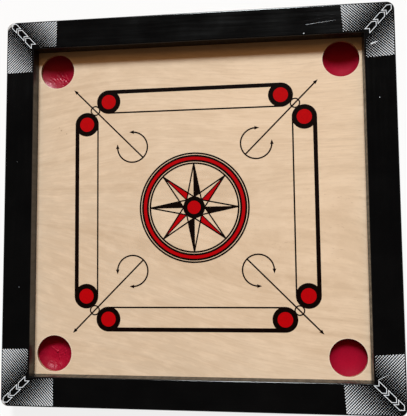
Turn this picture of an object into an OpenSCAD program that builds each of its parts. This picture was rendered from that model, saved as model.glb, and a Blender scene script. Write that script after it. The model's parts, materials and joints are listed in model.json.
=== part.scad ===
// Carrom board: four mitred rails round a plywood panel that sits in a groove, two crossed battens under the
// panel, and a cloth bag under each corner pocket.
// Millimetres. +Z is up, +Y points to the far rail, and the origin is the middle of the underside.

/* [Frame] */
// Outside length of each side of the board
board_side = 508; // [400:1:760]
// Width of a rail, seen from above
rail_w = 38; // [30:0.5:60]
// Height of a rail
rail_h = 32; // [26:0.5:50]
// How far the rails stand above the playing surface
rail_stand = 18; // [12:0.5:20]
// Radius of the outer corners, seen from above
corner_r = 10; // [7:0.5:11]
// Rounding along the outer top edge of a rail
outer_arris_r = 2; // [0.5:0.1:3]
// Rounding along the inner top edge of a rail
inner_arris_r = 1.5; // [0.5:0.1:3]
// Chamfer along the outer bottom edge of a rail
foot_chamfer = 1; // [0.3:0.1:2]

/* [Playing panel] */
// Thickness of the plywood
panel_t = 4; // [3:0.1:5.5]
// Depth of the groove in the rails that holds the edge of the plywood
groove_depth = 8; // [5:0.5:11]

/* [Pockets] */
// Diameter of a pocket hole
pocket_d = 47; // [38:0.5:60]
// Gap from a pocket hole to the inner faces of the rails
pocket_gap = 3.2; // [2.2:0.1:12]
// Thickness of the pocket cloth
cloth_t = 0.8; // [0.4:0.1:1.2]
// Width of the cloth tacked to the plywood on the two open sides of a pocket
flange_w = 12.5; // [9:0.5:20]
// Rounding at the corners of the tacked cloth
flange_corner_r = 5; // [2:0.5:8]
// Inside radius of the bend between a bag's wall and its bottom
bag_bend_r = 3; // [1:0.1:6]
// Height of a bag's bottom above the table
bag_lift = 1; // [0.5:0.1:2]

/* [Battens] */
// Width of a batten
batten_w = 30; // [20:0.5:45]
// How far the batten ends reach into the rails
batten_let_in = 20; // [17:0.5:24]

/* [Fasteners] */
// Shank diameter of a corner nail
nail_d = 2.6; // [1.8:0.1:4]
// Length of a corner nail
nail_len = 46; // [36:1:60]
// Head diameter of a corner nail
nail_head_d = 5; // [4:0.1:7]
// Head thickness of a corner nail
nail_head_t = 1; // [0.6:0.1:1.6]
// Depth of a nail head below the face of the rail
nail_sink = 0.3; // [0.1:0.1:1]
// Distance of the corner nails from the end of the rail that they pass through
nail_inset = 14.5; // [14:0.1:18]
// Distance of the lower nails from the underside, and of the upper nails from the top
nail_edge = 8; // [5:0.1:12]
// Shank diameter of a batten screw
screw_d = 3.6; // [2.5:0.1:5]
// Length of a batten screw
screw_len = 22; // [16:0.5:24]
// Head diameter of a batten screw
screw_head_d = 7; // [5.5:0.1:9]
// Distance of a batten screw from the end of its batten
screw_end = 6; // [5:0.5:8]
// Length of each arm pair of the cross recess in a screw head
recess_len = 3.6; // [2.4:0.1:4.5]
// Width of the cross recess in a screw head
recess_w = 1.2; // [0.8:0.1:1.6]
// Depth of the cross recess in a screw head
recess_depth = 0.9; // [0.5:0.1:1.2]
// Shank diameter of a panel pin
pin_d = 1.4; // [1:0.1:2]
// Head diameter of a panel pin
pin_head_d = 3.2; // [2.4:0.1:4.5]
// Head thickness of a panel pin
pin_head_t = 0.8; // [0.4:0.1:1.2]
// Distance of the first panel pin from the middle of the board
pin_first = 60; // [40:1:80]
// Distance from one panel pin to the next
pin_pitch = 70; // [40:1:80]
// Shank diameter of a pocket tack
tack_d = 1.2; // [0.8:0.1:2]
// Head diameter of a pocket tack
tack_head_d = 4.2; // [3:0.1:5]
// Diameter of the flat on top of a pocket tack's head
tack_crown_d = 3; // [2:0.1:3]
// Head thickness of a pocket tack
tack_head_t = 0.9; // [0.5:0.1:1.5]
// Distance of a tack from the edge of the cloth
tack_edge = 5; // [3:0.1:6]
// Plywood left above the points of pins and tacks
point_cover = 1.2; // [0.8:0.1:1.8]

/* [Clearances] */
// Play above the plywood in its groove
groove_play = 0.3; // [0.1:0.05:0.6]
// Play between the edge of the plywood and the bottom of its groove
panel_edge_play = 0.5; // [0.2:0.1:1.5]
// Play on each side and at the end of a batten in its notch
batten_play = 0.2; // [0.1:0.05:0.5]
// Height of the battens above the table
batten_lift = 0.5; // [0.2:0.1:1.5]
// Play on each side of the half-lap where the battens cross
lap_play = 0.15; // [0.05:0.05:0.5]
// Play round a nail, screw, pin or tack, on the diameter
bore_play = 0.1; // [0.05:0.01:0.3]
// How far a bag's mouth stands outside the edge of its hole
mouth_play = 0.5; // [0.2:0.1:1]
// Play between a bag's cloth and the rails
wall_play = 0.6; // [0.3:0.1:0.8]

/* [Hidden] */
$fn = 64;
spill = 1;
half_side = board_side / 2;
inner_half = half_side - rail_w;
straight_half = half_side - corner_r;
panel_top = rail_h - rail_stand;
panel_bottom = panel_top - panel_t;
panel_half = inner_half + groove_depth - panel_edge_play;
pocket_r = pocket_d / 2;
pocket_c = inner_half - pocket_gap - pocket_r;
mouth_r = pocket_r + mouth_play;
flange_wall = pocket_r + pocket_gap - wall_play;
flange_open = pocket_r + flange_w;
bag_floor = bag_lift + cloth_t;
bag_depth = panel_bottom - bag_floor;
bend_r = min(bag_bend_r, bag_depth / 2);
tack_out = flange_wall - tack_edge;
tack_in = tack_edge - flange_open;
tack_mid = (tack_in + tack_out) / 2;
tack_spots = [
  [tack_in, tack_in], [tack_in, tack_mid], [tack_in, tack_out],
  [tack_mid, tack_in], [tack_out, tack_in], [tack_out, tack_out]
];
tack_seat = panel_bottom - cloth_t;
point_top = panel_top - point_cover;
batten_t = panel_bottom - batten_lift;
batten_half = inner_half + batten_let_in;
lap_z = batten_lift + batten_t / 2;
screw_c = batten_half - screw_end;
screw_head_t = (screw_head_d - screw_d) / 2;
nail_line = half_side - nail_inset;
nail_face = half_side - nail_sink;
nail_heights = [nail_edge, rail_h - nail_edge];
pin_spots = [pin_first, pin_first + pin_pitch];

// What is outside an edge rounded with radius r, with the middle of the round at the origin
module edge_waste(r) {
  difference() {
    square(r + spill);
    circle(r);
  }
}

// Section of a rail: x runs from the inner face to the outer face, y upwards
module rail_section() {
  difference() {
    square([rail_w, rail_h]);
    translate([rail_w - outer_arris_r, rail_h - outer_arris_r]) edge_waste(outer_arris_r);
    translate([inner_arris_r, rail_h - inner_arris_r]) mirror([1, 0]) edge_waste(inner_arris_r);
    polygon([[rail_w - foot_chamfer, 0], [rail_w, foot_chamfer], [rail_w + spill, -spill]]);
    translate([-spill, panel_bottom]) square([groove_depth + spill, panel_t + groove_play]);
  }
}

// The quarter turn that carries a rail's section round an outer corner
module rounded_corner() {
  rotate_extrude(angle = 90)
    intersection() {
      translate([corner_r - rail_w, 0]) rail_section();
      square([corner_r, rail_h]);
    }
}

// A rail in the far rail's place, before it is drilled
module plain_rail() {
  difference() {
    intersection() {
      union() {
        translate([-straight_half, inner_half, 0])
          rotate([90, 0, 90])
            linear_extrude(2 * straight_half) rail_section();
        translate([straight_half, straight_half, 0]) rounded_corner();
        translate([-straight_half, straight_half, 0]) rotate(90) rounded_corner();
      }
      translate([0, 0, -spill])
        linear_extrude(rail_h + 2 * spill)
          polygon([[0, 0], [board_side, board_side], [-board_side, board_side]]);
    }
    translate([-batten_w / 2 - batten_play, inner_half - spill, -spill])
      cube([batten_w + 2 * batten_play, batten_let_in + batten_play + spill, panel_bottom + spill]);
  }
}

module rail(turn) {
  color("#0c0c0d")
    difference() {
      rotate(turn) plain_rail();
      at_nails() nail(bore_play, nail_sink + spill);
      at_screws() screw_shank(bore_play);
    }
}

module rail_far() { rail(0); }
module rail_left() { rail(90); }
module rail_near() { rail(180); }
module rail_right() { rail(270); }

// The plywood
module playing_panel() {
  color("#d9bf9e")
    difference() {
      translate([0, 0, panel_bottom])
        linear_extrude(panel_t)
          difference() {
            square(2 * panel_half, center = true);
            for (sx = [-1, 1], sy = [-1, 1])
              translate([sx * pocket_c, sy * pocket_c]) circle(pocket_r);
          }
      at_tacks() tack_shank(bore_play);
      at_pins() pin_shank(bore_play);
    }
}

// A batten along X, with half of its thickness cut away where the other batten crosses it
module batten(lap_from) {
  difference() {
    translate([-batten_half, -batten_w / 2, batten_lift])
      cube([2 * batten_half, batten_w, batten_t]);
    translate([-batten_w / 2 - lap_play, -batten_w / 2 - spill, lap_from])
      cube([batten_w + 2 * lap_play, batten_w + 2 * spill, batten_t / 2 + spill]);
  }
}

module batten_long() {
  color("#c9a577")
    difference() {
      batten(lap_z);
      drilled_batten_holes();
    }
}

module batten_cross() {
  color("#c9a577")
    difference() {
      rotate(90) batten(batten_lift - spill);
      drilled_batten_holes();
    }
}

module drilled_batten_holes() {
  at_screws() screw(bore_play);
  at_pins() pin(bore_play);
}

// Outline of the cloth that is tacked to the plywood: +X and +Y point to the two rails of the corner
module flange_outline() {
  low = -flange_open;
  high = flange_wall;
  r = flange_corner_r;
  translate([low + r, low]) square([high - low - 2 * r, high - low]);
  translate([low, low + r]) square([high - low, high - low - 2 * r]);
  for (x = [low + r, high - r], y = [low + r, high - r])
    translate([x, y]) circle(r);
}

// Half section of a bag's outside or inside: radius, height of the bottom, bend and height of the top
module bag_section(r, bottom, bend, top) {
  translate([0, bottom + bend]) square([r, top - bottom - bend]);
  translate([0, bottom]) square([r - bend, bend + spill]);
  translate([r - bend, bottom + bend]) circle(bend);
}

module pocket_bag(sx, sy) {
  color("#a3122c")
    difference() {
      at_pocket(sx, sy)
        difference() {
          union() {
            translate([0, 0, tack_seat]) linear_extrude(cloth_t) flange_outline();
            rotate_extrude() bag_section(mouth_r + cloth_t, bag_lift, bend_r + cloth_t, panel_bottom);
          }
          rotate_extrude() bag_section(mouth_r, bag_floor, bend_r, panel_bottom + spill);
        }
      at_tacks() tack_shank(bore_play);
    }
}

module pocket_bag_far_left() { pocket_bag(-1, 1); }
module pocket_bag_far_right() { pocket_bag(1, 1); }
module pocket_bag_near_left() { pocket_bag(-1, -1); }
module pocket_bag_near_right() { pocket_bag(1, -1); }

// Places one pocket's parts, with +X and +Y towards the rails of that corner
module at_pocket(sx, sy) {
  mirror([sx < 0 ? 1 : 0, 0, 0])
    mirror([0, sy < 0 ? 1 : 0, 0])
      translate([pocket_c, pocket_c, 0]) children();
}

module at_tacks() {
  for (sx = [-1, 1], sy = [-1, 1])
    at_pocket(sx, sy)
      for (spot = tack_spots)
        translate([spot[0], spot[1], tack_seat]) children();
}

module at_pins() {
  for (turn = [0:90:270], spot = pin_spots)
    rotate(turn) translate([spot, 0, batten_lift]) children();
}

module at_screws() {
  for (turn = [0:90:270])
    rotate(turn) translate([screw_c, 0, batten_lift]) children();
}

// Nails enter through the ends of the left and right rails and point inwards
module at_nails() {
  for (turn = [0, 180], side = [-1, 1], z = nail_heights)
    rotate(turn) translate([nail_face, side * nail_line, z]) rotate([0, -90, 0]) children();
}

// Each fastener stands on its head at the origin and points up; play widens it into the hole that it needs
module tack_shank(play) {
  cylinder(d = tack_d + play, h = point_top - tack_seat);
}

module pocket_tacks() {
  color("#b9babd")
    at_tacks() {
      tack_shank(0);
      translate([0, 0, -tack_head_t]) cylinder(d1 = tack_crown_d, d2 = tack_head_d, h = tack_head_t);
    }
}

module pin_shank(play) {
  cylinder(d = pin_d + play, h = point_top - batten_lift);
}

module pin(play) {
  pin_shank(play);
  translate([0, 0, -play]) cylinder(d = pin_head_d + play, h = pin_head_t + play);
}

module batten_pins() {
  color("#b9babd") at_pins() pin(0);
}

module screw_shank(play) {
  cylinder(d = screw_d + play, h = screw_len + play);
}

module screw(play) {
  screw_shank(play);
  cylinder(d1 = screw_head_d + play, d2 = screw_d + play, h = screw_head_t);
}

module batten_screws() {
  color("#c8b46a")
    at_screws()
      difference() {
        screw(0);
        for (turn = [0, 90])
          rotate(turn) cube([recess_len, recess_w, 2 * recess_depth], center = true);
      }
}

// A hole for a nail also reaches out past its head, to the face of the rail
module nail(play, reach) {
  cylinder(d = nail_d + play, h = nail_len + play);
  translate([0, 0, -reach]) cylinder(d = nail_head_d + play, h = nail_head_t + reach);
}

module corner_nails() {
  color("#b9babd") at_nails() nail(0, 0);
}

rail_far();
rail_near();
rail_left();
rail_right();
playing_panel();
batten_long();
batten_cross();
pocket_bag_far_left();
pocket_bag_far_right();
pocket_bag_near_left();
pocket_bag_near_right();
pocket_tacks();
batten_pins();
batten_screws();
corner_nails();
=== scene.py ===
import json
import math

import bpy
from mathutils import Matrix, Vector, noise


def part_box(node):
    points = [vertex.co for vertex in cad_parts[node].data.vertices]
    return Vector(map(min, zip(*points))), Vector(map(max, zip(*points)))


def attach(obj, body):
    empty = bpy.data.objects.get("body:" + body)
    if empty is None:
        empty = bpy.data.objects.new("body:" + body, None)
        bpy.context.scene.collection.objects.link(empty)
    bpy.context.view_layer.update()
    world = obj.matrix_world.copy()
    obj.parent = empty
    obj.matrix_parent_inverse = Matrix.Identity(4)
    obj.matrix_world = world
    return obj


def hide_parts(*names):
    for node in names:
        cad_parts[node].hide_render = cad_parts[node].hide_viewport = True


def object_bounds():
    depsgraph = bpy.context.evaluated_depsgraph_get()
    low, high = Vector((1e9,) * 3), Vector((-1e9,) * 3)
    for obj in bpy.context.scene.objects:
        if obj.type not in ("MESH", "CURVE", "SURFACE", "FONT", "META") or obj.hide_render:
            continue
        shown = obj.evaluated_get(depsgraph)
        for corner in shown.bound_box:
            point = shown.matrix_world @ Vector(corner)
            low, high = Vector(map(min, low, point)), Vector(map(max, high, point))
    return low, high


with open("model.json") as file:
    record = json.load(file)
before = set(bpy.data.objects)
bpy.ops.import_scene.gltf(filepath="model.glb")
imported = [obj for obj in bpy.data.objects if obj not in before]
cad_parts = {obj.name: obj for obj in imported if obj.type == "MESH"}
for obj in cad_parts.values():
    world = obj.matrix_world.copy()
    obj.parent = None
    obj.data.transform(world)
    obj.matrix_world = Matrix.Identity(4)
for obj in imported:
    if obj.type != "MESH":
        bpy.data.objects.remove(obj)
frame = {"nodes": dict(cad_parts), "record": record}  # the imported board, which stays as it is
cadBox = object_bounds()
mm = 0.001

# places taken from the board itself
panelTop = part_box("playing_panel")[1].z
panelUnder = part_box("playing_panel")[0].z
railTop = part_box("rail_far")[1].z
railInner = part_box("rail_far")[0].y  # inner faces of the rails, from the middle
railOuter = cadBox[1].y
pocketBoxes = {
    opening["name"]: opening["box_m"]
    for opening in frame["record"]["physics"]["openings"]
    if opening["name"].startswith("pocket")
}
pocketLow, pocketHigh = pocketBoxes["pocket_far_right"]
pocketPlace = (pocketLow[0] + pocketHigh[0]) / 2  # each pocket's middle, both ways from the board's
print("board loaded:", len(frame["nodes"]), "nodes")


# small tools

def pickOnly(piece):
    bpy.ops.object.select_all(action="DESELECT")
    piece.select_set(True)
    bpy.context.view_layer.objects.active = piece


def applyModifiers(piece):
    pickOnly(piece)
    for modifier in list(piece.modifiers):
        bpy.ops.object.modifier_apply(modifier=modifier.name)


def joinPieces(pieces, name):
    pickOnly(pieces[0])
    for piece in pieces:
        piece.select_set(True)
    bpy.ops.object.join()
    joined = bpy.context.object
    joined.name = name
    joined.data.name = name
    return joined


def settle(piece):  # place and turn go into the mesh
    pickOnly(piece)
    bpy.ops.object.transform_apply(location=True, rotation=True, scale=True)


def dress(piece, material):
    piece.data.materials.clear()
    piece.data.materials.append(material)


# node helpers for the finishes

cloudSpan = (0.3, 0.7)  # nearly all of a cloudy pattern lies between these


class Finish:
    def __init__(self, name):
        self.material = bpy.data.materials.new(name)
        self.material.use_nodes = True
        self.tree = self.material.node_tree
        self.shader = self.tree.nodes["Principled BSDF"]
        self.place = self.add("ShaderNodeTexCoord").outputs["Object"]

    def add(self, kind, **settings):
        node = self.tree.nodes.new(kind)
        for key, value in settings.items():
            setattr(node, key, value)
        return node

    def plug(self, value, socket):
        if isinstance(value, bpy.types.NodeSocket):
            self.tree.links.new(value, socket)
        else:
            socket.default_value = value

    def stretch(self, scale, turn=(0, 0, 0), shift=(0, 0, 0), of=None):
        node = self.add("ShaderNodeMapping")
        self.plug(of or self.place, node.inputs["Vector"])
        node.inputs["Location"].default_value = shift
        node.inputs["Rotation"].default_value = [math.radians(angle) for angle in turn]
        node.inputs["Scale"].default_value = scale
        return node.outputs["Vector"]

    def cloudy(self, vector, scale=1.0, detail=4.0, rough=0.55, warp=0.0):
        node = self.add("ShaderNodeTexNoise")
        self.plug(vector, node.inputs["Vector"])
        node.inputs["Scale"].default_value = scale
        node.inputs["Detail"].default_value = detail
        node.inputs["Roughness"].default_value = rough
        node.inputs["Distortion"].default_value = warp
        return node.outputs["Fac"]

    def ramp(self, value, low, high, start=0.0, end=1.0):
        node = self.add("ShaderNodeMapRange", clamp=True)
        self.plug(value, node.inputs["Value"])
        for key, number in (("From Min", low), ("From Max", high), ("To Min", start), ("To Max", end)):
            self.plug(number, node.inputs[key])
        return node.outputs["Result"]

    def math(self, operation, first, second=0.0, third=0.0):
        node = self.add("ShaderNodeMath", operation=operation)
        for socket, value in zip(node.inputs, (first, second, third)):
            self.plug(value, socket)
        return node.outputs["Value"]

    def blend(self, share, first, second):
        node = self.add("ShaderNodeMix", data_type="RGBA")
        self.plug(share, node.inputs["Factor"])
        colours = [socket for socket in node.inputs if socket.type == "RGBA"]
        for socket, value in zip(colours, (first, second)):
            self.plug(value if isinstance(value, bpy.types.NodeSocket) else (*value, 1.0), socket)
        return [socket for socket in node.outputs if socket.type == "RGBA"][0]

    def axes(self, vector=None):
        node = self.add("ShaderNodeSeparateXYZ")
        self.plug(vector or self.place, node.inputs["Vector"])
        return node.outputs

    def vector(self, operation, first, second):
        node = self.add("ShaderNodeVectorMath", operation=operation)
        self.plug(first, node.inputs[0])
        self.plug(second, node.inputs[1])
        return node.outputs["Value" if operation == "DISTANCE" else "Vector"]

    def flat(self, x, y):  # a place on the board, seen from above
        node = self.add("ShaderNodeCombineXYZ")
        self.plug(x, node.inputs["X"])
        self.plug(y, node.inputs["Y"])
        return node.outputs["Vector"]

    def fromPocket(self):  # distance from the middle of the nearest pocket, seen from above
        x, y = self.axes()[:2]
        spot = self.flat(self.math("ABSOLUTE", x), self.math("ABSOLUTE", y))
        return self.vector("DISTANCE", spot, (pocketPlace, pocketPlace, 0))

    def bump(self, height, depth, strength):
        node = self.add("ShaderNodeBump")
        node.inputs["Strength"].default_value = strength
        node.inputs["Distance"].default_value = depth
        self.plug(height, node.inputs["Height"])
        self.plug(node.outputs["Normal"], self.shader.inputs["Normal"])

    def set(self, **values):
        for key, value in values.items():
            self.plug(value, self.shader.inputs[key.replace("_", " ")])


# camera, floor and light

cameraSet = dict(
    place=(0.09205, -0.05118, 0.71579),
    turn=(4.048, 6.703, -0.4335),
    focalPixels=545,
    imageHeight=416,
    sensor=36,
    nearest=0.01,
)


def makeCamera():
    bpy.ops.object.camera_add(
        location=cameraSet["place"],
        rotation=[math.radians(angle) for angle in cameraSet["turn"]],
    )
    camera = bpy.context.object
    camera.data.sensor_width = cameraSet["sensor"]
    camera.data.lens = cameraSet["focalPixels"] * cameraSet["sensor"] / cameraSet["imageHeight"]
    camera.data.clip_start = cameraSet["nearest"]
    bpy.context.scene.camera = camera


floorLook = dict(
    size=6.0,
    colour=(0.88, 0.88, 0.88),
    shade=0.985,  # the darker tone, as a share of the colour
    mottle=9.0,
    rough=0.9,
    gloss=0.1,
    lift=0.84,  # seen by the camera and in reflections, the paper is whiter than it lights
)


def makeFloor():
    bpy.ops.mesh.primitive_plane_add(size=floorLook["size"])
    floor = bpy.context.object
    floor.name = "studio_floor"
    paper = Finish("floor_paper")
    tone = paper.cloudy(paper.place, scale=floorLook["mottle"], detail=2.0)
    darker = [channel * floorLook["shade"] for channel in floorLook["colour"]]
    paper.set(
        Base_Color=paper.blend(tone, floorLook["colour"], darker),
        Roughness=floorLook["rough"],
        Specular_IOR_Level=floorLook["gloss"],
    )
    path = paper.add("ShaderNodeLightPath").outputs
    seen = paper.math("MAXIMUM", path["Is Camera Ray"], path["Is Glossy Ray"])
    seen = paper.math("MAXIMUM", seen, path["Is Transmission Ray"])
    shown = paper.add("ShaderNodeMixShader")
    paper.plug(paper.math("MULTIPLY", seen, floorLook["lift"]), shown.inputs["Fac"])
    paper.plug(paper.shader.outputs["BSDF"], shown.inputs[1])
    paper.plug(paper.add("ShaderNodeEmission").outputs["Emission"], shown.inputs[2])  # white at strength 1
    paper.plug(shown.outputs["Shader"], paper.tree.nodes["Material Output"].inputs["Surface"])
    dress(floor, paper.material)


lightSet = dict(
    keyPlace=(0, 1, 1.5),
    keyElevation=40.3,
    keyAzimuth=2.0,  # turned a little from straight behind the far rail
    keyAngle=14.0,
    keyEnergy=3.84,
    keyColour=(0.905, 0.98, 1.0),
    rimColour=(1.0, 0.58, 0.30),  # warm light from the room, low all round
    rimLevel=0.17,
    rimTop=0.02,
    rimHeight=(0.5, 0.86),
    glowColour=(1.0, 0.53, 0.22),  # soft light round the key
    glowLevel=1.5,
    glowElevation=50.0,
    glowAngles=(34.0, 6.0),  # where the glow begins and is full
    backdropLow=1.0,  # what gloss shows of the studio: a pale backdrop, dark overhead
    backdropTop=0.02,
    backdropHeight=(0.0, 0.32),
)


def skyLevel(tree, value, span, low, high):
    level = tree.nodes.new("ShaderNodeMapRange")
    level.interpolation_type = "SMOOTHSTEP"
    for key, number in zip(("From Min", "From Max", "To Min", "To Max"), (*span, low, high)):
        level.inputs[key].default_value = number
    tree.links.new(value, level.inputs["Value"])
    return level.outputs["Result"]


def skyPart(tree, level, colour):
    light = tree.nodes.new("ShaderNodeBackground")
    light.inputs["Color"].default_value = (*colour, 1.0)
    tree.links.new(level, light.inputs["Strength"])
    return light.outputs["Background"]


def skyMath(tree, kind, first, second):
    node = tree.nodes.new(kind)
    node.operation = "DOT_PRODUCT" if kind == "ShaderNodeVectorMath" else "MAXIMUM"
    tree.links.new(first, node.inputs[0])
    if isinstance(second, tuple):
        node.inputs[1].default_value = second
    else:
        tree.links.new(second, node.inputs[1])
    return node.outputs["Value"]


def makeSky():
    lit = lightSet
    world = bpy.data.worlds.new("studio")
    bpy.context.scene.world = world
    world.use_nodes = True
    tree = world.node_tree
    way = tree.nodes.new("ShaderNodeTexCoord").outputs["Generated"]
    split = tree.nodes.new("ShaderNodeSeparateXYZ")
    tree.links.new(way, split.inputs["Vector"])
    height = split.outputs["Z"]
    level = skyLevel(tree, height, lit["rimHeight"], lit["rimLevel"], lit["rimTop"])
    rim = skyPart(tree, level, lit["rimColour"])
    tilt = math.radians(lit["glowElevation"])
    nearKey = skyMath(tree, "ShaderNodeVectorMath", way, (0, math.cos(tilt), math.sin(tilt)))
    span = [math.cos(math.radians(angle)) for angle in lit["glowAngles"]]
    level = skyLevel(tree, nearKey, span, 0.0, lit["glowLevel"])
    glow = skyPart(tree, level, lit["glowColour"])
    light = tree.nodes.new("ShaderNodeAddShader")
    tree.links.new(rim, light.inputs[0])
    tree.links.new(glow, light.inputs[1])
    # the camera sees white, and gloss sees the backdrop
    path = tree.nodes.new("ShaderNodeLightPath").outputs
    mirrored = skyMath(tree, "ShaderNodeMath", path["Is Glossy Ray"], path["Is Transmission Ray"])
    seen = skyMath(tree, "ShaderNodeMath", mirrored, path["Is Camera Ray"])
    shown = skyLevel(tree, height, lit["backdropHeight"], lit["backdropLow"], lit["backdropTop"])
    backdrop = skyPart(tree, skyMath(tree, "ShaderNodeMath", shown, path["Is Camera Ray"]), (1, 1, 1))
    both = tree.nodes.new("ShaderNodeMixShader")
    tree.links.new(seen, both.inputs["Fac"])
    tree.links.new(light.outputs["Shader"], both.inputs[1])
    tree.links.new(backdrop, both.inputs[2])
    tree.links.new(both.outputs["Shader"], tree.nodes["World Output"].inputs["Surface"])


def makeLight():
    lit = lightSet
    bpy.ops.object.light_add(type="SUN", location=lit["keyPlace"])
    key = bpy.context.object
    key.data.energy = lit["keyEnergy"]
    key.data.angle = math.radians(lit["keyAngle"])
    key.data.color = lit["keyColour"]
    key.rotation_euler = (math.radians(lit["keyElevation"] - 90), 0, math.radians(lit["keyAzimuth"]))
    makeSky()
    bpy.context.scene.view_settings.view_transform = "Standard"


makeCamera()
makeFloor()
makeLight()
print("camera, floor and light set")


# flat ink shapes, drawn in millimetres from the middle of the print

def addDisc(centre, radius, corners=96):
    bpy.ops.object.select_all(action="DESELECT")
    bpy.ops.mesh.primitive_circle_add(
        vertices=corners, radius=radius * mm, fill_type="NGON",
        location=(centre[0] * mm, centre[1] * mm, 0),
    )
    return bpy.context.object


def hollowOut(piece, width):  # leaves a line of that width inside the outline
    pickOnly(piece)
    bpy.ops.object.mode_set(mode="EDIT")
    bpy.ops.mesh.select_all(action="SELECT")
    bpy.ops.mesh.inset(thickness=width * mm)
    bpy.ops.mesh.delete(type="FACE")
    bpy.ops.object.mode_set(mode="OBJECT")
    return piece


def addRing(centre, middleRadius, width, corners=96):
    return hollowOut(addDisc(centre, middleRadius + width / 2, corners), width)


def addPatch(corners):
    bpy.ops.object.select_all(action="DESELECT")
    bpy.ops.mesh.primitive_circle_add(vertices=len(corners), radius=mm, fill_type="NGON")
    patch = bpy.context.object
    for vertex, corner in zip(patch.data.vertices, corners):
        vertex.co = (corner[0] * mm, corner[1] * mm, 0)
    return patch


def addLine(start, end, width):
    along = (Vector(end) - Vector(start)).normalized()
    across = Vector((-along.y, along.x)) * width / 2
    start, end = Vector(start), Vector(end)
    return addPatch([start - across, end - across, end + across, start + across])


def addArrowHead(tip, direction, length, width):
    along = Vector(direction).normalized()
    across = Vector((-along.y, along.x)) * width / 2
    heel = Vector(tip) - along * length
    return addPatch([tip, heel + across, heel - across])


def polar(radius, degrees):
    angle = math.radians(degrees)
    return Vector((radius * math.cos(angle), radius * math.sin(angle)))


def raiseInk(piece, low, high):  # a flat drawing becomes a thin slab from low to high
    pickOnly(piece)
    bpy.ops.object.transform_apply(location=True)
    bpy.ops.object.mode_set(mode="EDIT")
    bpy.ops.mesh.select_all(action="SELECT")
    bpy.ops.transform.translate(value=(0, 0, low))
    bpy.ops.mesh.extrude_region_move(TRANSFORM_OT_translate={"value": (0, 0, high - low)})
    bpy.ops.mesh.select_all(action="SELECT")
    bpy.ops.mesh.normals_make_consistent(inside=False)
    bpy.ops.object.mode_set(mode="OBJECT")
    return piece


def fuse(piece, other):  # one clean slab from shapes that cross each other
    union = piece.modifiers.new("fuse", "BOOLEAN")
    union.operation = "UNION"
    union.solver = "EXACT"
    union.use_self = True
    union.object = other
    applyModifiers(piece)
    bpy.data.objects.remove(other)
    bpy.ops.object.mode_set(mode="EDIT")
    bpy.ops.mesh.select_all(action="SELECT")
    bpy.ops.mesh.remove_doubles(threshold=inkSet["merge"] * mm)
    bpy.ops.mesh.dissolve_degenerate(threshold=inkSet["merge"] * mm)
    bpy.ops.object.mode_set(mode="OBJECT")
    return piece


# the printed lines of the playing surface

boardPrint = dict(
    shift=(-2.36, 0.54),  # the print is a little off the middle of the board
    turn=0.218,
    baseAlong=114.5,  # base circles, along and across their line
    baseAcross=144.3,
    baseRadius=16.1,
    baseRed=9.7,
    thickLine=5.4,
    thinLine=2.02,
    cornerRing=132.8,
    cornerRingRadius=5.9,
    cornerRingLine=1.75,
    cornerRingCorners=64,
    arrowStart=95.6,  # along the diagonal
    arrowTip=229.6,
    arrowLine=1.95,
    headLength=6.2,
    headWidth=4.8,
    arrowNeck=0.8,  # how far a line and an arc run into their heads, as shares of a head's length
    arcNeck=0.7,
    arcPlace=81.9,
    arcRadius=20.2,
    arcLine=1.95,
    arcCorners=96,
)

starPrint = dict(
    rays=8,
    outerRing=71.2,
    bandOuter=67.9,
    bandInner=61.3,
    innerRing=58.0,
    ringLine=2.25,
    bandLine=2.6,
    ringCorners=160,
    tip=57.5,
    waist=11.5,  # the sides of each ray touch a circle of this radius
    rayLine=1.85,
    foldLine=1.4,  # down the middle of each ray
    rayEnd=0.9,  # how far the sides of a ray run in under the disc
    disc=14.4,
    discRed=8.7,
)

inkSet = dict(
    sink=0.02,  # into the wood
    red=0.035,  # heights of the ink
    black=0.06,
    overlap=0.3,  # red ink under the edge of the black
    merge=0.012,  # corners this close become one
)


def drawBases(black, red):
    p = boardPrint
    thick = p["baseAcross"] + p["baseRadius"] - p["thickLine"] / 2
    thin = p["baseAcross"] - p["baseRadius"] + p["thinLine"] / 2
    for turn in range(4):
        def spun(x, y):
            return Vector((x, y)) if turn == 0 else Vector(((-y, x), (-x, -y), (y, -x))[turn - 1])
        for side in (-1, 1):
            centre = spun(side * p["baseAlong"], p["baseAcross"])
            width = p["baseRadius"] - p["baseRed"]
            black.append(addRing(centre, p["baseRadius"] - width / 2, width))
            red.append(addDisc(centre, p["baseRed"] + inkSet["overlap"]))
        for height, width in ((thick, p["thickLine"]), (thin, p["thinLine"])):
            black.append(addLine(spun(-p["baseAlong"], height), spun(p["baseAlong"], height), width))


def drawCorners(black):
    p = boardPrint
    for sideX, sideY in ((-1, -1), (1, -1), (1, 1), (-1, 1)):
        outward = Vector((sideX, sideY)).normalized()
        ringCentre = (sideX * p["cornerRing"], sideY * p["cornerRing"])
        ring = addRing(ringCentre, p["cornerRingRadius"], p["cornerRingLine"], p["cornerRingCorners"])
        black.append(ring)
        heel = p["arrowTip"] - p["headLength"] * p["arrowNeck"]
        black.append(addLine(outward * p["arrowStart"], outward * heel, p["arrowLine"]))
        black.append(addArrowHead(outward * p["arrowTip"], outward, p["headLength"], p["headWidth"]))
        drawArc(black, sideX, sideY)


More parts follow.
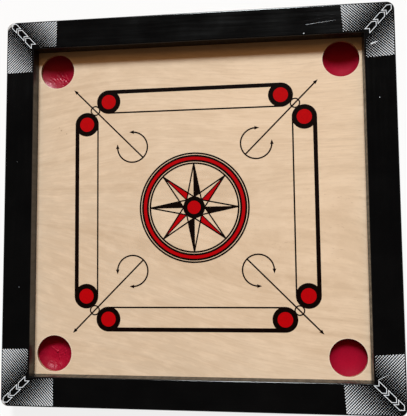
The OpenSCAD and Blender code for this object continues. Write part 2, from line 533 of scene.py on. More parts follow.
def drawArc(black, sideX, sideY):  # three quarters of a ring, open towards the pocket
    p = boardPrint
    centre = Vector((sideX, sideY)) * p["arcPlace"]
    arc = addRing(centre, p["arcRadius"], p["arcLine"], p["arcCorners"])
    bpy.ops.object.mode_set(mode="EDIT")
    bpy.ops.mesh.select_all(action="DESELECT")
    bpy.ops.object.mode_set(mode="OBJECT")
    for face in arc.data.polygons:
        face.select = face.center.x * sideX > 0 and face.center.y * sideY > 0
    bpy.ops.object.mode_set(mode="EDIT")
    bpy.ops.mesh.delete(type="FACE")
    bpy.ops.object.mode_set(mode="OBJECT")
    black.append(arc)
    for end, way in (((0, sideY), (sideX, 0)), ((sideX, 0), (0, sideY))):
        tip = centre + Vector(end) * p["arcRadius"] + Vector(way) * p["headLength"] * p["arcNeck"]
        black.append(addArrowHead(tip, way, p["headLength"], p["headWidth"]))


def crossing(firstStart, firstEnd, secondStart, secondEnd):  # where two straight lines meet
    a, b = firstEnd - firstStart, secondEnd - secondStart
    gap = secondStart - firstStart
    share = (gap.x * b.y - gap.y * b.x) / (a.x * b.y - a.y * b.x)
    return firstStart + a * share


def drawStar(black, red):
    p = starPrint
    for radius in (p["outerRing"], p["innerRing"]):
        black.append(addRing((0, 0), radius, p["ringLine"], p["ringCorners"]))
    for radius in (p["bandOuter"], p["bandInner"]):
        black.append(addRing((0, 0), radius, p["bandLine"], p["ringCorners"]))
    bandWidth = p["bandOuter"] - p["bandInner"] - p["ringLine"] / 2
    red.append(addRing((0, 0), (p["bandOuter"] + p["bandInner"]) / 2, bandWidth, p["ringCorners"]))
    discWidth = p["disc"] - p["discRed"]
    black.append(addRing((0, 0), p["disc"] - discWidth / 2, discWidth))
    red.append(addDisc((0, 0), p["discRed"] + inkSet["overlap"]))

    reach = math.degrees(math.acos(p["waist"] / p["tip"]))  # from a ray to where its side touches the waist

    def side(angle, turn):  # one side of a ray: its tip and its end at the waist
        return polar(p["tip"], angle), polar(p["waist"], angle + turn * reach)

    spacing = 360 / p["rays"]
    inDisc = math.sqrt(p["disc"] ** 2 - p["waist"] ** 2) * p["rayEnd"]
    for step in range(p["rays"]):
        angle = 90 + spacing * step
        for turn in (-1, 1):
            tip, waist = side(angle, turn)
            black.append(addLine(tip, waist + (tip - waist).normalized() * inDisc, p["rayLine"]))
        neighbour = side(angle - spacing, 1)
        tip, waist = side(angle, -1)
        outside = crossing(tip, waist, *neighbour)
        inside = crossing(tip, Vector((0, 0)), *neighbour)
        black.append(addLine(tip, inside, p["foldLine"]))
        (black if step % 2 == 0 else red).append(addPatch([tip, inside, outside]))


def makePrint():
    black, red = [], []
    drawBases(black, red)
    drawCorners(black)
    drawStar(black, red)
    printed = []
    for name, shapes, top in (("black_print", black, "black"), ("red_print", red, "red")):
        first = raiseInk(shapes.pop(), -inkSet["sink"] * mm, inkSet[top] * mm)
        rest = raiseInk(joinPieces(shapes, name), -inkSet["sink"] * mm, inkSet[top] * mm)
        ink = fuse(rest, first)
        ink.location = (boardPrint["shift"][0] * mm, boardPrint["shift"][1] * mm, panelTop)
        ink.rotation_euler.z = math.radians(boardPrint["turn"])
        settle(ink)
        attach(ink, "root")
        printed.append(ink)
    return printed


blackPrint, redPrint = makePrint()
inkFaces = [len(ink.data.polygons) for ink in (blackPrint, redPrint)]
print("playing surface printed:", inkFaces, "faces")


# the white ornament at the corners of the rails: a fade of dots on each side of the mitre,
# and a chain along it

fade = dict(
    along=2.60,  # spacing of the dots along and across the mitre
    across=2.25,
    alongStart=276.8,
    acrossStart=6.75,
    columns=31,
    rows=22,
    dotStart=0.085,  # dot diameter at the mitre, and how fast it grows away from it
    dotGrowth=0.0490,
    dotMost=2.45,
    oval=(0.80, 1.32),  # the dots are longer across the mitre, so that they run together into stripes
    ovalMost=2.2,
    dotCorners=8,
    outerGap=2.0,
    innerGap=1.8,
    ink=0.045,
)
chain = dict(start=308.0, sides=(13.2, 13.2, 10.4), pitch=15.3, width=8.6, line=0.82)

# each corner as if it were the far right one: how its ornament sits, and where its two wings end
cornerKinds = {
    "far_right": dict(turn=0, shift=(0.2, -2.2), lean=2.3, ends=((188.0, 190.4), (185.2, 183.0))),
    "far_left": dict(turn=90, shift=(-0.4, -2.2), lean=-1.8, ends=((183.8, 184.7), (183.8, 184.4))),
    "near_left": dict(turn=180, shift=(0.0, 0.1), lean=-1.6, ends=((183.3, 183.8), (181.3, 180.7))),
    "near_right": dict(turn=270, shift=(-2.1, 2.3), lean=0.8, ends=((180.4, 182.7), (182.9, 180.7))),
}


def diagonal(along, across):  # a point by its distance along and across the mitre of the far right corner
    return Vector((along - across, along + across)) / math.sqrt(2)


def layOnMitre(piece, along, across, lean):  # from a drawing along the x axis
    angle = math.radians(45 + lean)
    pivot = chain["start"] * Vector((math.cos(angle), math.sin(angle)))
    place = (diagonal(chain["start"] + along, across) - pivot) * mm
    piece.location = (place.x, place.y, 0)
    piece.rotation_euler.z = angle
    settle(piece)


def cutBeside(start, end):  # clears what lies to the right of the way from start to end
    way = (Vector(end) - Vector(start)).normalized()
    bpy.ops.mesh.select_all(action="SELECT")
    bpy.ops.mesh.bisect(
        plane_co=(start[0] * mm, start[1] * mm, 0), plane_no=(way.y, -way.x, 0), clear_outer=True
    )


def repeat(piece, step, count):
    rows = piece.modifiers.new("rows", "ARRAY")
    rows.use_relative_offset = False
    rows.use_constant_offset = True
    rows.constant_offset_displace = step
    rows.count = count


def makeWing(along, across, lean, end):
    f = fade
    dots = addDisc((0, 0), 0.5, f["dotCorners"])  # a millimetre across, then each grows to its size
    repeat(dots, (0, f["across"] * mm, 0), f["rows"])
    repeat(dots, (f["along"] * mm, 0, 0), f["columns"])
    applyModifiers(dots)
    for dot in dots.data.polygons:
        centre = dot.center.copy()
        size = min(f["dotStart"] + f["dotGrowth"] * (centre.y / mm + f["acrossStart"]), f["dotMost"])
        oval = Vector((size * f["oval"][0], min(size * f["oval"][1], f["ovalMost"]), 1))
        for corner in dot.vertices:
            vertex = dots.data.vertices[corner]
            vertex.co = centre + (vertex.co - centre) * oval
    dots.location = (f["alongStart"] * mm, f["acrossStart"] * mm, 0)
    settle(dots)
    layOnMitre(dots, along, across, lean)
    outer = railOuter / mm - f["outerGap"]
    inner = railInner / mm + f["innerGap"]
    beyond = railOuter / mm
    bpy.ops.object.mode_set(mode="EDIT")
    cutBeside((end[1], inner), (beyond, inner))
    cutBeside((beyond, outer), (end[0], outer))
    cutBeside((end[0], outer), (end[1], inner))
    bpy.ops.mesh.select_all(action="SELECT")
    bpy.ops.mesh.delete_loose(use_verts=True, use_edges=True, use_faces=False)
    bpy.ops.object.mode_set(mode="OBJECT")
    return dots


def makeChain(along, across, lean):
    c = chain
    half = c["width"] / 2
    links = []
    for number, side in enumerate(c["sides"]):
        tail = c["start"] + number * c["pitch"]
        head = tail + side
        link = addPatch([
            (tail, half), (tail + half, 0), (tail, -half), (head, -half), (head + half, 0), (head, half),
        ])
        links.append(hollowOut(link, c["line"]))
        layOnMitre(links[-1], along, across, lean)
    return links


def makeCornerOrnament(name, kind):
    along, across = kind["shift"]
    wing = makeWing(along, across, kind["lean"], kind["ends"][0])
    otherWing = makeWing(along, -across, -kind["lean"], kind["ends"][1])
    otherWing.rotation_euler.z = math.radians(-90)
    otherWing.scale.x = -1  # mirrored across the mitre
    settle(otherWing)
    links = makeChain(along, across, kind["lean"])
    ornament = joinPieces([wing, otherWing, *links], "corner_ornament_" + name)
    raiseInk(ornament, -inkSet["sink"] * mm, fade["ink"] * mm)
    ornament.rotation_euler.z = math.radians(kind["turn"])
    ornament.location.z = railTop
    settle(ornament)
    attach(ornament, "root")
    return ornament


scuffSet = dict(
    height=0.055,
    steps=(0.0, 0.12, 0.3, 0.5, 0.7, 0.88, 1.0),
    widths=(0.25, 1.0, 0.75, 0.9, 0.6, 0.45, 0.1),  # shares of a scuff's width at the steps
    sway=0.25,
    spread=(7.3, 4.1, 0.5),  # how the sway differs from scuff to scuff and along each
)
scuffPlaces = [  # from, to and width
    ((223.4, 200.0), (232.4, 203.4), 1.9),
    ((220.4, -211.5), (233.8, -204.6), 0.5),
    ((144.2, 229.2), (163.0, 231.5), 0.30),
    ((161.0, 231.0), (181.5, 233.3), 0.20),
    ((140.9, 218.1), (142.8, 218.3), 1.3),
    ((232.1, 132.0), (233.2, 132.2), 1.0),
    ((-236.9, 63.4), (-236.4, 63.6), 0.5),
    ((-231.5, -101.5), (-230.9, -101.3), 0.5),
]


def addScuff(number, start, end, width):
    start, end = Vector(start), Vector(end)
    across = Vector((start.y - end.y, end.x - start.x)).normalized()
    left, right = [], []
    apart, along, layer = scuffSet["spread"]
    for step, share in zip(scuffSet["steps"], scuffSet["widths"]):
        sway = noise.noise((number * apart, step * along, layer)) * scuffSet["sway"] * width
        middle = start.lerp(end, step) + across * sway
        left.append(middle + across * share * width / 2)
        right.append(middle - across * share * width / 2)
    return addPatch([*right, *reversed(left)])


def makeScuffs():
    marks = [addScuff(number, *place) for number, place in enumerate(scuffPlaces)]
    scuffs = joinPieces(marks, "rail_scuffs")
    raiseInk(scuffs, -inkSet["sink"] * mm, scuffSet["height"] * mm)
    scuffs.location.z = railTop
    settle(scuffs)
    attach(scuffs, "root")
    return scuffs


railScuffs = makeScuffs()
cornerOrnaments = [makeCornerOrnament(name, kind) for name, kind in cornerKinds.items()]
print("corner ornaments printed:", sum(len(piece.data.polygons) for piece in cornerOrnaments), "faces")


# the cloth bags under the pockets, hung by simulation at ten times their size

bagCloth = dict(
    cells=76,
    mouth=24.2,  # the cloth is held flat outside this radius
    seat=9.55,  # height of the tacked cloth
    table=1.3,  # lowest that the cloth may hang
    clearance=0.02,
    thickness=0.45,
    scale=10.0,
    frames=40,
    quality=8,
    mass=0.25,
    stretch=40,
    shear=12,
    rippleSize=7.0,
    edgeFade=2.0,  # how fast folds and ripples grow from the mouth inwards
    crinkleLayer=0.5,
)
# flat side of each bag's square of cloth, depth and roundness of the bag, its slack and stiffness,
# small ripples, folds as from, to, height and width, and crinkled areas as middle, reach, height and size
bagKinds = {
    "far_left": dict(
        cloth="crumpled", cut=62.5, depth=1.6, curve=2.4, slack=0.003, bend=0.6, ripple=0.5, seed=3,
        folds=[
            ((-2, 2), (5, -6), 0.75, 1.1), ((2, -1), (8, -8), 0.85, 1.0), ((3, -5), (9, -13), 0.85, 1.1),
            ((6, -3), (13, -11), 0.6, 1.2), ((-3, -4), (4, -12), 0.65, 1.2),
            ((-13, -4), (-7, -10), 0.55, 1.4), ((-8, -8), (-2, -16), 0.55, 1.3),
        ],
        crinkles=[((7, -9), 8.0, 0.9, 3.4), ((-9, -8), 8.0, 0.6, 3.8)],
    ),
    "far_right": dict(
        cloth="soft", cut=63.5, depth=5.8, curve=3.3, slack=0.006, bend=3.0, ripple=0.12, seed=11,
        folds=[((-18, 0.5), (18, 1.5), 0.45, 1.5), ((-14, -2.5), (13, -1.5), 0.2, 1.2)],
        crinkles=[],
    ),
    "near_left": dict(
        cloth="creased", cut=64.8, depth=7.4, curve=4.0, slack=0.008, bend=0.8, ripple=0.5, seed=23,
        folds=[
            ((-8, 6), (0, 0), 1.1, 0.95), ((0, 0), (3, -9), 1.0, 1.0), ((0, 0), (9, 9), 0.8, 1.2),
            ((10, 4), (13, -10), 0.8, 1.1), ((-9, -13), (6, -17), 0.7, 1.2), ((5, -3), (14, 2), 0.6, 1.0),
            ((-12, -2), (-4, -7), 0.5, 1.3),
        ],
        crinkles=[((11, -2), 9.0, 0.8, 3.2), ((-1, -13), 8.0, 0.6, 3.6)],
    ),
    "near_right": dict(
        cloth="soft", cut=63.5, depth=5.8, curve=3.3, slack=0.004, bend=4.0, ripple=0.10, seed=37,
        folds=[], crinkles=[],
    ),
}


def toSegment(spot, start, end):  # distance from a place to a straight fold
    along = Vector(end) - Vector(start)
    share = (spot - Vector(start)).dot(along) / along.length_squared
    return (spot - Vector(start).lerp(Vector(end), min(max(share, 0.0), 1.0))).length


def bagDrop(spot, kind):  # how far the cloth hangs below its tacked edge, in millimetres
    b = bagCloth
    drop = kind["depth"] * (1 - (spot.length / b["mouth"]) ** kind["curve"])
    edge = min(drop / kind["depth"] * b["edgeFade"], 1.0)
    place = spot / b["rippleSize"]
    ripple = noise.noise((place.x, place.y, kind["seed"])) * kind["ripple"]
    for middle, reach, height, size in kind["crinkles"]:
        share = math.exp(-((spot - Vector(middle)).length / reach) ** 2)
        fine = noise.noise((spot.x / size, spot.y / size, kind["seed"] + b["crinkleLayer"]))
        ripple += share * height * (1 - 2 * abs(fine))
    for start, end, height, width in kind["folds"]:
        ripple += height * math.exp(-(toSegment(spot, start, end) / width) ** 2)
    return drop - ripple * edge


def hangCloth(cloth, kind, table):
    b = bagCloth
    hang = cloth.modifiers.new("hang", "CLOTH")
    settings = hang.settings
    settings.quality = b["quality"]
    settings.mass = b["mass"]
    settings.tension_stiffness = b["stretch"]
    settings.compression_stiffness = b["stretch"]
    settings.shear_stiffness = b["shear"]
    settings.bending_stiffness = kind["bend"]
    settings.shrink_min = -kind["slack"]
    settings.shrink_max = -kind["slack"]
    settings.vertex_group_mass = "tacked"
    hang.collision_settings.distance_min = b["clearance"] * mm * b["scale"]
    hang.collision_settings.use_self_collision = False
    hang.point_cache.frame_end = b["frames"]
    pickOnly(table)
    table.modifiers.new("stop", "COLLISION")
    table.collision.thickness_outer = b["clearance"] * mm * b["scale"]
    scene = bpy.context.scene
    for step in range(1, b["frames"] + 1):
        scene.frame_set(step)
    pickOnly(cloth)
    bpy.ops.object.modifier_apply(modifier=hang.name)
    scene.frame_set(1)


def makeBag(name, kind):
    b = bagCloth
    node = "pocket_bag_" + name
    low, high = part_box(node)
    holeLow, holeHigh = (Vector(corner) for corner in pocketBoxes["pocket_" + name])
    centre = (holeLow + holeHigh) / 2
    up = b["scale"]
    bpy.ops.object.select_all(action="DESELECT")
    bpy.ops.mesh.primitive_grid_add(x_subdivisions=b["cells"], y_subdivisions=b["cells"], size=1)
    cloth = bpy.context.object
    cloth.name = cloth.data.name = "pocket_cloth_" + name
    cloth.scale = ((high.x - low.x) * up, (high.y - low.y) * up, 1)
    middle = (low + high) / 2 - centre
    cloth.location = (middle.x * up, middle.y * up, 0)
    settle(cloth)
    held = cloth.vertex_groups.new(name="tacked")
    for vertex in cloth.data.vertices:
        spot = vertex.co.xy / (mm * up)
        if spot.length >= b["mouth"]:
            held.add([vertex.index], 1.0, "REPLACE")
        else:
            vertex.co.z = -bagDrop(spot, kind) * mm * up
    bpy.ops.mesh.primitive_plane_add(size=2, location=(0, 0, (b["table"] - b["seat"]) * mm * up))
    table = bpy.context.object
    hangCloth(cloth, kind, table)
    bpy.data.objects.remove(table)
    cloth.scale = (1 / up, 1 / up, 1 / up)
    cloth.location = (centre.x, centre.y, b["seat"] * mm)
    settle(cloth)
    area = sum(face.area for face in cloth.data.polygons)
    smooth = cloth.modifiers.new("smooth", "SUBSURF")
    smooth.levels = smooth.render_levels = 1
    thick = cloth.modifiers.new("thick", "SOLIDIFY")
    thick.thickness = b["thickness"] * mm
    thick.offset = 0
    applyModifiers(cloth)
    bpy.ops.object.shade_smooth()
    lowest = min(vertex.co.z for vertex in cloth.data.vertices)
    print("bag", name, "cloth", round(area / mm ** 2), "square mm, lowest", round(lowest / mm, 2))
    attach(cloth, "root")
    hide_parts(node)
    return cloth


bags = {name: makeBag(name, kind) for name, kind in bagKinds.items()}


# finishes

railLook = dict(
    black=((0.0020, 0.0020, 0.0022), (0.0031, 0.0031, 0.0033)),
    haze=22.0,
    hazeSpan=(0.35, 0.75),
    brushAlong=14,  # brush marks run along each rail
    brushAcross=300,
    topSpan=(0.7, 1.3),
    topRough=(0.10, 0.22),
    drips=(210, 210, 30),  # runs of paint on the upright faces
    dripSpan=(0.3, 0.7),
    dripBump=3.0,
    sideRough=(0.26, 0.5),
    sideSpan=(0.2, 0.7),
    dust=(0.06, 0.06, 0.06),
    dustSize=1300.0,
    dustSpan=(0.76, 0.82),
    dustMost=0.3,
    gloss=0.45,
    bump=0.00005,
    bumpStrength=0.25,
)
railWear = dict(
    farLeftCorner=495.0,  # where the rubbed corners begin, as the sum of the two distances from the middle
    nearLeftCorner=497.8,
    ragged=9.0,
    raggedSize=190.0,
    raggedDown=1.2,
    edge=1.2,
    wornDepth=6.0,
    wornFull=2.0,
    wornMost=0.8,
    wornRough=0.7,
    primer=(0.60, 0.61, 0.63),
    scuffedPlace=(165.0, 234.0),
    scuffedReach=34.0,
    scratches=(40, 1100, 300),
    scratchTurn=-4,
    scratchSpan=(0.58, 0.72),
    scratchRough=0.5,
    scratch=(0.035, 0.035, 0.038),
)


def rubbedPatch(paint, x, y):  # fine scratches along a rubbed place on the far rail
    w = railWear
    spot = paint.flat(*(paint.math("DIVIDE", axis, mm) for axis in (x, y)))
    rubbed = paint.vector("DISTANCE", spot, (*w["scuffedPlace"], 0))
    rubbed = paint.ramp(rubbed, 0.0, w["scuffedReach"], 1.0, 0.0)
    along = paint.stretch(w["scratches"], turn=(0, 0, w["scratchTurn"]))
    scratches = paint.cloudy(along, detail=3.0, rough=0.7)
    return paint.math("MULTIPLY", paint.ramp(scratches, *w["scratchSpan"]), rubbed)


def wornCorners(paint, x, y, z):  # the two left corners are rubbed down to the primer at the top
    w = railWear
    ragged = paint.cloudy(paint.place, scale=w["raggedSize"], detail=5.0, rough=0.7)
    ragged = paint.math("MULTIPLY", paint.math("SUBTRACT", ragged, 0.5), w["ragged"] * mm)
    limit = paint.ramp(y, -mm, mm, w["nearLeftCorner"] * mm, w["farLeftCorner"] * mm)
    reach = paint.math("ADD", paint.math("ABSOLUTE", x), paint.math("ABSOLUTE", y))
    reach = paint.math("ADD", reach, ragged)
    worn = paint.ramp(paint.math("SUBTRACT", reach, limit), 0.0, w["edge"] * mm)
    worn = paint.math("MULTIPLY", worn, paint.math("LESS_THAN", x, 0.0))
    top = paint.math("ADD", z, paint.math("MULTIPLY", ragged, w["raggedDown"]))
    depth = paint.ramp(top, railTop - w["wornDepth"] * mm, railTop - w["wornFull"] * mm)
    return paint.math("MULTIPLY", worn, depth)


def railPaint():
    r, w = railLook, railWear
    paint = Finish("black_gloss_paint")
    x, y, z = paint.axes()
    upright = paint.axes(paint.add("ShaderNodeNewGeometry").outputs["Normal"])[2]
    upright = paint.ramp(paint.math("ABSOLUTE", upright), *r["sideSpan"], 1.0, 0.0)
    alongX = paint.math("GREATER_THAN", paint.math("ABSOLUTE", y), paint.math("ABSOLUTE", x))
    brush = paint.add("ShaderNodeMix", data_type="VECTOR")
    paint.plug(alongX, brush.inputs["Factor"])
    paint.plug(paint.stretch((r["brushAcross"], r["brushAlong"], r["brushAcross"])), brush.inputs[4])
    paint.plug(paint.stretch((r["brushAlong"], r["brushAcross"], r["brushAcross"])), brush.inputs[5])
    grain = paint.cloudy(brush.outputs[1], detail=3.0)
    haze = paint.cloudy(paint.place, scale=r["haze"], detail=5.0)
    drips = paint.cloudy(paint.stretch(r["drips"]), detail=4.0, rough=0.65)
    dust = paint.cloudy(paint.place, scale=r["dustSize"], detail=1.0)
    scratches = rubbedPatch(paint, x, y)
    worn = wornCorners(paint, x, y, z)
    colour = paint.blend(paint.ramp(haze, *r["hazeSpan"]), *r["black"])
    colour = paint.blend(scratches, colour, w["scratch"])
    colour = paint.blend(paint.ramp(dust, *r["dustSpan"], 0.0, r["dustMost"]), colour, r["dust"])
    colour = paint.blend(paint.math("MULTIPLY", worn, w["wornMost"]), colour, w["primer"])
    smooth = paint.ramp(paint.math("ADD", grain, haze), *r["topSpan"], *r["topRough"])
    smooth = paint.math("MAXIMUM", smooth, paint.ramp(scratches, 0.0, 1.0, 0.0, w["scratchRough"]))
    smooth = paint.ramp(upright, 0.0, 1.0, smooth, paint.ramp(drips, *r["dripSpan"], *r["sideRough"]))
    paint.set(
        Base_Color=colour,
        Roughness=paint.ramp(worn, 0.0, 1.0, smooth, w["wornRough"]),
        Specular_IOR_Level=r["gloss"],
    )
    runs = paint.math("MULTIPLY", paint.math("MULTIPLY", drips, upright), r["dripBump"])
    paint.bump(paint.math("ADD", grain, runs), r["bump"], r["bumpStrength"])
    return paint.material


panelLook = dict(
    face=((0.695, 0.562, 0.426), (0.845, 0.666, 0.489)),
    drift=(1.9, 1.4, 0.8),  # the face grows paler to the right, to the far side and in clouds
    driftSize=5.5,
    driftSpan=(0.05, 0.85),
    fall=0.24,  # slope of the figure in the near half
    fallSpan=(0.05, -0.10),
    wander=0.05,
    wanderSize=(1.7, 3.2, 3.0),
    wanderSpan=(0.2, 0.8),
    pinKnots=((-183.0, 107.7, 1.5), (-175.6, 103.0, 1.0), (-186.0, 111.5, 0.8)),  # place and size
    knotCore=0.3,
    knotMost=0.55,
    knot=(0.22, 0.12, 0.06),
    pocketRadius=23.5,
    rim=1.4,  # sanded pale round a pocket, partly a painted highlight of the hole's lit edge
    sandedAndHighlightRimMost=0.6,
    rimColour=(0.90, 0.76, 0.64),
    ply=2.7,
    plyCore=0.26,
    plies=((0.50, 0.34, 0.23), (0.33, 0.19, 0.11)),
    plyPoreSpan=(0.5, 0.7),
    plyPoreMost=0.4,
    plyPores=(0.20, 0.10, 0.05),
    skin=0.05,
    back=((0.60, 0.45, 0.30), (0.47, 0.33, 0.20)),
    backSpan=(0.35, 0.75),
    backMost=0.5,
    backStreaks=(0.40, 0.27, 0.16),
    rough=(0.48, 0.6),
    ior=1.45,
    gloss=0.25,
    poreBump=0.6,
    bump=0.00006,
    bumpStrength=0.3,
)
# layers of the figure: stretch, shift, detail, roughness and warp of each, whether it follows the bends,
# where it starts and is full, its most and its colour
plyLayers = {
    "patches": dict(
        stretch=(11, 17, 14), shift=(3.1, 0.7, 0), detail=3.0, rough=0.55, warp=0.0, bends=False,
        span=(0.40, 0.70), most=0.45, colour=(0.66, 0.50, 0.355),
    ),
    "broad": dict(
        stretch=(5, 58, 60), shift=(0, 0, 0), detail=6.0, rough=0.62, warp=0.3, bends=True,
        span=(0.38, 0.72), most=0.45, colour=(0.63, 0.47, 0.32),
    ),
    "bands": dict(
        stretch=(2.2, 75, 40), shift=(0.4, 0.2, 0), detail=3.0, rough=0.5, warp=0.2, bends=True,
        span=(0.56, 0.70), most=0.40, colour=(0.56, 0.41, 0.275),
    ),
    "mottle": dict(
        stretch=(40, 95, 80), shift=(0, 0, 0), detail=5.0, rough=0.6, warp=0.0, bends=True,
        span=(0.45, 0.75), most=0.55, colour=(0.88, 0.71, 0.54),
    ),
    "streaks": dict(
        stretch=(30, 420, 300), shift=(0, 0, 0), detail=4.0, rough=0.6, warp=0.0, bends=True,
        span=(0.45, 0.75), most=0.48, colour=(0.61, 0.45, 0.305),
    ),
    "pores": dict(
        stretch=(150, 1700, 400), shift=(0, 0, 0), detail=2.0, rough=0.55, warp=0.0, bends=True,
        span=(0.64, 0.74), most=0.35, colour=(0.46, 0.31, 0.19),
    ),
}


# the figure runs along the board in long bends and falls to the right in the near half
def bentPlace(ply, x, y):
    p = panelLook
    wander = ply.cloudy(ply.stretch(p["wanderSize"]), detail=1.0)
    wander = ply.ramp(wander, *p["wanderSpan"], -p["wander"], p["wander"])
    fall = ply.math("MULTIPLY", x, ply.ramp(y, *p["fallSpan"], 0.0, p["fall"]))
    return ply.vector("ADD", ply.place, ply.flat(0.0, ply.math("ADD", fall, wander)))


def plyFace(ply, x, y):  # the face and the clouds of its layers
    p = panelLook
    bent = bentPlace(ply, x, y)
    toRight, toFar, clouds = p["drift"]
    drift = ply.math("MULTIPLY", ply.cloudy(ply.place, scale=p["driftSize"], detail=2.0), clouds)
    drift = ply.math("ADD", ply.math("MULTIPLY", x, toRight), drift)
    drift = ply.math("ADD", ply.math("MULTIPLY", y, toFar), drift)
    face = ply.blend(ply.ramp(drift, *p["driftSpan"]), *p["face"])
    layers = {}
    for name, layer in plyLayers.items():
        spread = ply.stretch(layer["stretch"], shift=layer["shift"], of=bent if layer["bends"] else None)
        layers[name] = ply.cloudy(spread, detail=layer["detail"], rough=layer["rough"], warp=layer["warp"])
        share = ply.ramp(layers[name], *layer["span"], 0.0, layer["most"])
        face = ply.blend(share, face, layer["colour"])
    for knotX, knotY, size in p["pinKnots"]:
        knot = ply.vector("DISTANCE", ply.flat(x, y), (knotX * mm, knotY * mm, 0))
        knot = ply.ramp(knot, p["knotCore"] * size * mm, size * mm, p["knotMost"], 0.0)
        face = ply.blend(knot, face, p["knot"])
    # pale ring round each pocket: sanded wood and a painted highlight of the hole's edge
    rimEnd = p["pocketRadius"] + p["rim"]
    rim = ply.ramp(ply.fromPocket(), p["pocketRadius"] * mm, rimEnd * mm, p["sandedAndHighlightRimMost"], 0.0)
    return ply.blend(rim, face, p["rimColour"]), layers


def plywood():
    p = panelLook
    ply = Finish("birch_plywood")
    x, y, z = ply.axes()
    face, layers = plyFace(ply, x, y)
    # plies in the cut edges
    layer = ply.math("FRACT", ply.math("DIVIDE", ply.math("SUBTRACT", z, panelUnder), p["ply"] * mm))
    edge = ply.blend(ply.math("COMPARE", layer, 0.5, p["plyCore"]), *p["plies"])
    pores = ply.ramp(layers["pores"], *p["plyPoreSpan"], 0.0, p["plyPoreMost"])
    edge = ply.blend(pores, edge, p["plyPores"])
    back = ply.blend(ply.ramp(layers["broad"], *cloudSpan), *p["back"])
    streaks = ply.ramp(layers["streaks"], *p["backSpan"], 0.0, p["backMost"])
    back = ply.blend(streaks, back, p["backStreaks"])
    colour = ply.blend(ply.math("LESS_THAN", z, panelTop - p["skin"] * mm), face, edge)
    colour = ply.blend(ply.math("LESS_THAN", z, panelUnder + p["skin"] * mm), colour, back)
    ply.set(
        Base_Color=colour,
        Roughness=ply.ramp(layers["broad"], *cloudSpan, *p["rough"]),
        IOR=p["ior"],
        Specular_IOR_Level=p["gloss"],
    )
    pores = ply.math("MULTIPLY", layers["pores"], p["poreBump"])
    ply.bump(ply.math("ADD", layers["streaks"], pores), p["bump"], p["bumpStrength"])
    return ply.material


battenLook = dict(
    wood=((0.64, 0.45, 0.25), (0.46, 0.27, 0.12)),
    rings=(5, 120, 90),
    ringWarp=0.8,
    ringSpan=(0.35, 0.68),
    fibre=(30, 900, 900),
    fibreSpan=(0.5, 0.8),
    fibreMost=0.4,
    fibreColour=(0.34, 0.19, 0.09),
    rough=(0.6, 0.75),
    bump=0.00015,
    bumpStrength=0.5,
)


def battenWood(name, turn):
    b = battenLook
    wood = Finish(name)
    along = wood.stretch((1, 1, 1), turn=(0, 0, turn))
    rings = wood.cloudy(wood.stretch(b["rings"], of=along), detail=4.0, warp=b["ringWarp"])
    fibre = wood.cloudy(wood.stretch(b["fibre"], of=along), detail=3.0)
    colour = wood.blend(wood.ramp(rings, *b["ringSpan"]), *b["wood"])
    colour = wood.blend(wood.ramp(fibre, *b["fibreSpan"], 0.0, b["fibreMost"]), colour, b["fibreColour"])
    wood.set(Base_Color=colour, Roughness=wood.ramp(rings, *cloudSpan, *b["rough"]))
    wood.bump(fibre, b["bump"], b["bumpStrength"])
    return wood.material


satinLook = dict(
    crimson=((0.355, 0.0045, 0.026), (0.295, 0.0035, 0.020)),
    threads=150,  # across one bag's cloth
    slub=(20, 170),
    slubSpan=(0.75, 1.25),
    crinkle=7,
    crinkleWarp=1.5,
    roughSpread=0.1,
    tint=(1.0, 0.62, 0.68),
    threadBump=0.05,
    bump=0.0004,
    paintedRimShadeReach=(11.0, 24.0),  # painted shade: the cloth is darker near the edge of its hole
    paintedRimShadeMost=0.36,
    paintedRimShade=(0.055, 0.003, 0.008),
)
satinShine = {  # bags worn shiny, and bags that kept their soft face
    "crumpled": dict(rough=0.26, level=0.34, crinkle=0.35),
    "creased": dict(rough=0.34, level=0.20, crinkle=0.30),
    "soft": dict(rough=0.50, level=0.06, crinkle=0.20),
}


def satinCloth(name, shine):
    s = satinLook
    satin = Finish(name)
    flat = satin.add("ShaderNodeTexCoord").outputs["UV"]
    low, high = s["slub"]
    warp = satin.cloudy(satin.stretch((low, high, 1), of=flat), detail=2.0)
    weft = satin.cloudy(satin.stretch((high, low, 1), of=flat), detail=2.0)
    weave = satin.axes(satin.stretch((s["threads"],) * 3, of=flat))
    over, under = (satin.math("SINE", satin.math("MULTIPLY", axis, math.tau)) for axis in weave[:2])
    threads = satin.math("MULTIPLY", over, under)
    crinkle = satin.stretch((s["crinkle"],) * 3, of=flat)
    crinkle = satin.cloudy(crinkle, detail=4.0, rough=0.6, warp=s["crinkleWarp"])
    colour = satin.blend(satin.ramp(satin.math("ADD", warp, weft), *s["slubSpan"]), *s["crimson"])
    # painted shade, darker towards the edge of the hole
    paintedRimShadeFrom, paintedRimShadeTo = s["paintedRimShadeReach"]
    paintedRimShade = satin.ramp(satin.fromPocket(), paintedRimShadeFrom * mm, paintedRimShadeTo * mm, 0.0, s["paintedRimShadeMost"])
    satin.set(
        Base_Color=satin.blend(paintedRimShade, colour, s["paintedRimShade"]),
        Roughness=satin.ramp(crinkle, *cloudSpan, shine["rough"], shine["rough"] + s["roughSpread"]),
        Specular_IOR_Level=shine["level"],
        Specular_Tint=(*s["tint"], 1.0),
    )
    height = satin.math("ADD", satin.math("MULTIPLY", threads, s["threadBump"]), crinkle)
    satin.bump(height, s["bump"], shine["crinkle"])
    return satin.material


steelLook = dict(
    steel=((0.58, 0.58, 0.59), (0.36, 0.34, 0.32)),
    mottle=700.0,
    mottleSpan=(0.4, 0.7),
    rough=(0.28, 0.5),
)


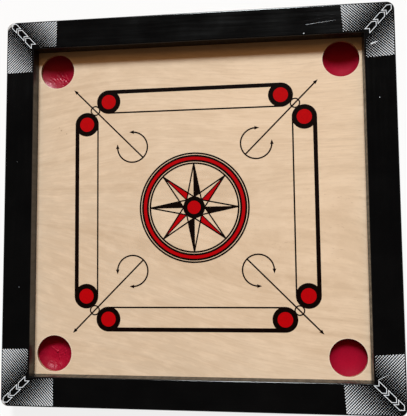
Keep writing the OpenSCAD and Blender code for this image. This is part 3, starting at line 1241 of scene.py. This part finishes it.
def steel():
    s = steelLook
    metal = Finish("bright_steel")
    tone = metal.cloudy(metal.place, scale=s["mottle"], detail=3.0)
    metal.set(
        Base_Color=metal.blend(metal.ramp(tone, *s["mottleSpan"]), *s["steel"]),
        Metallic=1.0,
        Roughness=metal.ramp(tone, *cloudSpan, *s["rough"]),
    )
    return metal.material


inkLook = dict(
    black=((0.0034, 0.0006, 0.0002), (0.0060, 0.0020, 0.0010)),  # fresh and faded
    red=((0.475, 0.0008, 0.0030), (0.41, 0.0008, 0.0030)),
    white=((0.82, 0.90, 0.99), (0.72, 0.79, 0.88)),
    mottle=260.0,
    mottleSpan=(0.35, 0.75),
    flecks=(120, 1400, 100),
    fleckSpan=(0.68, 0.78),
    fleckMost=0.35,
    rough=(0.5, 0.62),
    gloss=0.04,
)


def ink(colour):
    i = inkLook
    fresh, faded = i[colour]
    wet = Finish(colour + "_ink")
    tone = wet.cloudy(wet.place, scale=i["mottle"], detail=4.0)
    fleck = wet.cloudy(wet.stretch(i["flecks"]), detail=2.0)
    shade = wet.blend(wet.ramp(tone, *i["mottleSpan"]), fresh, faded)
    shade = wet.blend(wet.ramp(fleck, *i["fleckSpan"], 0.0, i["fleckMost"]), shade, faded)
    rough = wet.ramp(tone, *cloudSpan, *i["rough"])
    wet.set(Base_Color=shade, Roughness=rough, Specular_IOR_Level=i["gloss"])
    return wet.material


railFinish = railPaint()
for side in ("far", "near", "left", "right"):
    dress(frame["nodes"]["rail_" + side], railFinish)
dress(frame["nodes"]["playing_panel"], plywood())
dress(frame["nodes"]["batten_long"], battenWood("batten_wood_along", 0))
dress(frame["nodes"]["batten_cross"], battenWood("batten_wood_across", 90))
steelFinish = steel()
for fastener in ("pocket_tacks", "batten_pins", "batten_screws", "corner_nails"):
    dress(frame["nodes"][fastener], steelFinish)
dress(blackPrint, ink("black"))
dress(redPrint, ink("red"))
whiteInk = ink("white")
for ornament in (*cornerOrnaments, railScuffs):
    dress(ornament, whiteInk)
clothFinishes = {name: satinCloth("crimson_satin_" + name, shine) for name, shine in satinShine.items()}
for name, cloth in bags.items():
    dress(cloth, clothFinishes[bagKinds[name]["cloth"]])
print("finishes set")
